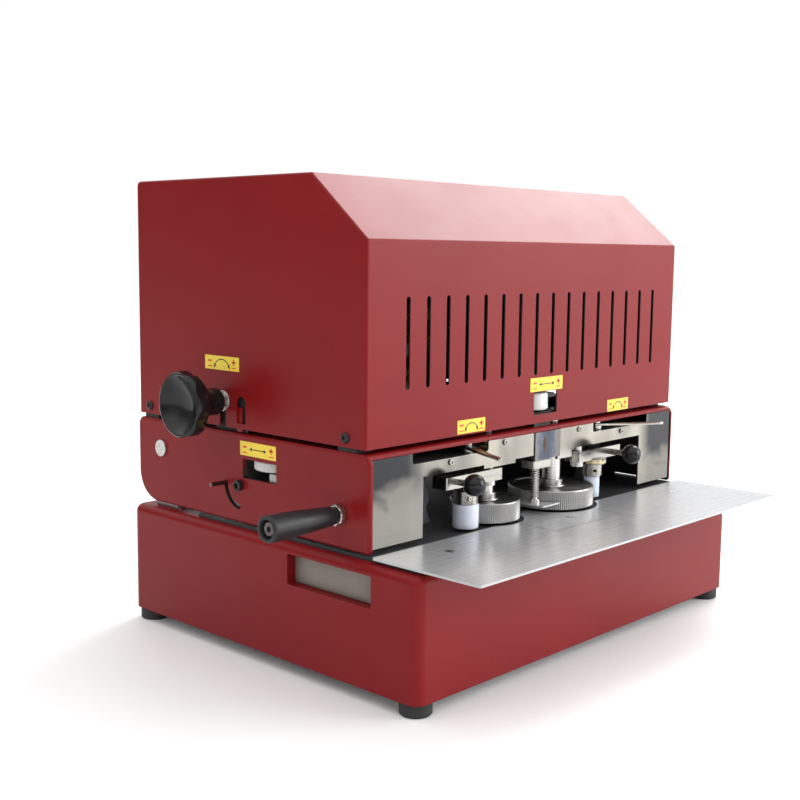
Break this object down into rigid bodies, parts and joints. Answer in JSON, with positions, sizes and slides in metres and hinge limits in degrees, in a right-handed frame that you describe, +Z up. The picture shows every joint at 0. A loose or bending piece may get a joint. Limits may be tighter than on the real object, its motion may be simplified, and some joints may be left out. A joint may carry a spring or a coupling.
{
  "type": "hot foil stamper",
  "caption": "Bench-top edge foiling machine: red enamelled base, tilting feed head with knurled wheels and nylon guide rollers, slotted sheet hood and side controls.",
  "frame": {"origin": "centre of the base casting's footprint, at the height of the bench under the feet", "axes": "+X to the right of the operator facing the machine, +Y from the operator to the back, +Z up"},
  "size_m": [0.572, 0.4554, 0.44],
  "materials": {
    "red_enamel": "satin stoved enamel, slightly orange-peeled",
    "deck_paint": "mid grey satin paint",
    "cast_guard": "dark grey matt casting",
    "table_steel": "satin stainless sheet with bright cut edges",
    "plated_steel": "bright machined and plated",
    "wheel_steel": "finely straight-knurled rim, ground faces",
    "mirror_nickel": "mirror nickel plate",
    "blued_steel": "heat-blued, with straw and brown tints",
    "spring_steel": "drawn wire",
    "black_oxide": "black oxide",
    "zinc_sheet": "zinc-coated sheet",
    "recess_beige": "warm grey textured panel",
    "foot_rubber": "matt black rubber",
    "belt_rubber": "black toothed belt",
    "grip_plastic": "dark grey satin moulding",
    "black_phenolic": "polished black thermoset",
    "white_nylon": "bluish-white nylon",
    "pale_plastic": "pale grey moulding with numbers left off",
    "fitting_black": "black moulding",
    "motor_black": "black enamelled can",
    "aluminium_parts": "milled",
    "board_green": "solder mask",
    "foil_gold": "metallised foil on a grey reel",
    "label_yellow": null,
    "bearing_bronze": "sintered bronze"
  },
  "bodies": {
    "base": {"base_casting": "red_enamel", "bottom_cover": "zinc_sheet", "rubber_feet": "foot_rubber", "base_screws": "plated_steel", "recess_panel": "recess_beige", "deck_plate": "deck_paint", "table_plate": "table_steel", "table_insert": "table_steel", "hinge_posts": "zinc_sheet", "power_inlet": "fitting_black", "switch_housing": "fitting_black", "power_supply": "aluminium_parts", "control_board": "board_green"},
    "power_rocker": {"power_rocker": "black_phenolic"},
    "head": {"head_frame": "red_enamel", "pivot_bolts": "plated_steel", "front_trim": "mirror_nickel", "black_screws": "black_oxide", "hood": "red_enamel", "inner_brackets": "black_oxide", "direction_labels": "label_yellow", "wheel_bearings": "bearing_bronze", "drive_belt": "belt_rubber", "motor_mount": "zinc_sheet", "drive_motor": "motor_black", "pivot_pins": "plated_steel", "presser_guide": "plated_steel", "side_guards": "cast_guard", "guard_rods": "plated_steel", "inner_controls": "fitting_black", "heater_block": "blued_steel", "heater_cartridge": "plated_steel", "reel_plate": "aluminium_parts", "takeup_motor": "motor_black", "knob_bush": "mirror_nickel", "grip_spindle": "mirror_nickel"},
    "right_wheel": {"right_feed_wheel": "wheel_steel", "right_wheel_shaft": "plated_steel"},
    "left_wheel": {"left_feed_wheel": "wheel_steel", "left_wheel_shaft": "plated_steel"},
    "motor_pulley": {"motor_pulley": "plated_steel"},
    "left_arm": {"left_arm": "plated_steel", "left_ball_knob": "black_phenolic"},
    "right_arm": {"right_arm": "plated_steel", "right_ball_knob": "black_phenolic"},
    "left_roller": {"left_guide_roller": "white_nylon"},
    "right_roller": {"right_guide_roller": "white_nylon"},
    "left_lever": {"left_lever": "mirror_nickel"},
    "right_lever": {"right_lever": "mirror_nickel"},
    "presser": {"presser_rod": "plated_steel", "presser_foot": "table_steel", "presser_spring": "spring_steel"},
    "height_wheel": {"height_wheel": "pale_plastic"},
    "supply_reel": {"supply_reel": "foil_gold"},
    "takeup_reel": {"takeup_reel": "foil_gold"},
    "tension_knob": {"tension_knob": "black_phenolic", "tension_shaft": "plated_steel"},
    "arc_lever": {"arc_lever": "plated_steel"},
    "speed_dial": {"speed_dial": "pale_plastic"},
    "grip": {"grip_sleeve": "grip_plastic"}
  },
  "joints": [
    {"name": "head_tilt", "type": "hinge", "parent": "base", "child": "head", "pos_m": [0, 0.1595, 0.1785], "axis": [-1, 0, 0], "range_deg": [0, 40]},
    {"name": "rocker_press", "type": "hinge", "parent": "base", "child": "power_rocker", "pos_m": [0.1, 0.191, 0.06], "axis": [1, 0, 0], "range_deg": [-20, 0]},
    {"name": "right_wheel_spin", "type": "hinge", "parent": "head", "child": "right_wheel", "pos_m": [0.041, -0.111, 0.134], "axis": [0, 0, 1], "continuous": true},
    {"name": "left_wheel_spin", "type": "hinge", "parent": "head", "child": "left_wheel", "pos_m": [-0.06, -0.108, 0.134], "axis": [0, 0, 1], "continuous": true},
    {"name": "motor_pulley_spin", "type": "hinge", "parent": "head", "child": "motor_pulley", "pos_m": [0.06, -0.03, 0.2175], "axis": [0, 0, 1], "continuous": true},
    {"name": "left_arm_swing", "type": "hinge", "parent": "head", "child": "left_arm", "pos_m": [-0.075, -0.1235, 0.1705], "axis": [0, 0, 1], "range_deg": [-12, 20]},
    {"name": "right_arm_swing", "type": "hinge", "parent": "head", "child": "right_arm", "pos_m": [0.068, -0.1235, 0.1705], "axis": [0, 0, 1], "range_deg": [-20, 10]},
    {"name": "left_roller_spin", "type": "hinge", "parent": "left_arm", "child": "left_roller", "pos_m": [-0.107, -0.1235, 0.136], "axis": [0, 0, 1], "continuous": true},
    {"name": "right_roller_spin", "type": "hinge", "parent": "right_arm", "child": "right_roller", "pos_m": [0.094, -0.1245, 0.136], "axis": [0, 0, 1], "continuous": true},
    {"name": "left_lever_turn", "type": "hinge", "parent": "head", "child": "left_lever", "pos_m": [-0.101, -0.119, 0.1985], "axis": [0, 0, 1], "range_deg": [-25, 25]},
    {"name": "right_lever_turn", "type": "hinge", "parent": "head", "child": "right_lever", "pos_m": [0.107, -0.119, 0.1985], "axis": [0, 0, 1], "range_deg": [-25, 15]},
    {"name": "height_wheel_turn", "type": "hinge", "parent": "head", "child": "height_wheel", "pos_m": [0.007, -0.1085, 0.231], "axis": [0, 0, 1], "range_deg": [-720, 720]},
    {"name": "presser_travel", "type": "slide", "parent": "head", "child": "presser", "axis": [0, 0, 1], "range_m": [-0.0025, 0.0025], "deforming": ["presser_spring"]},
    {"name": "speed_dial_turn", "type": "hinge", "parent": "head", "child": "speed_dial", "pos_m": [-0.212, 0.0095, 0.179], "axis": [0, 0, 1], "range_deg": [-150, 150]},
    {"name": "arc_lever_turn", "type": "hinge", "parent": "head", "child": "arc_lever", "pos_m": [-0.24, 0.037, 0.1585], "axis": [1, 0, 0], "range_deg": [-84, 0]},
    {"name": "tension_knob_turn", "type": "hinge", "parent": "head", "child": "tension_knob", "pos_m": [-0.27, 0.0618, 0.235], "axis": [1, 0, 0], "range_deg": [-270, 270]},
    {"name": "supply_reel_spin", "type": "hinge", "parent": "head", "child": "supply_reel", "pos_m": [0, 0.0618, 0.235], "axis": [1, 0, 0], "continuous": true},
    {"name": "takeup_reel_spin", "type": "hinge", "parent": "head", "child": "takeup_reel", "pos_m": [0, 0.045, 0.31], "axis": [1, 0, 0], "continuous": true},
    {"name": "grip_spin", "type": "hinge", "parent": "head", "child": "grip", "pos_m": [-0.285, -0.0965, 0.153], "axis": [1, 0, 0], "continuous": true}
  ],
  "couplings": [
    {"joint": "left_wheel_spin", "follows": "right_wheel_spin", "ratio": 1.2866},
    {"joint": "motor_pulley_spin", "follows": "right_wheel_spin", "ratio": 1},
    {"joint": "presser_travel", "follows": "height_wheel_turn", "m_per_rad": 0.00019894}
  ]
}
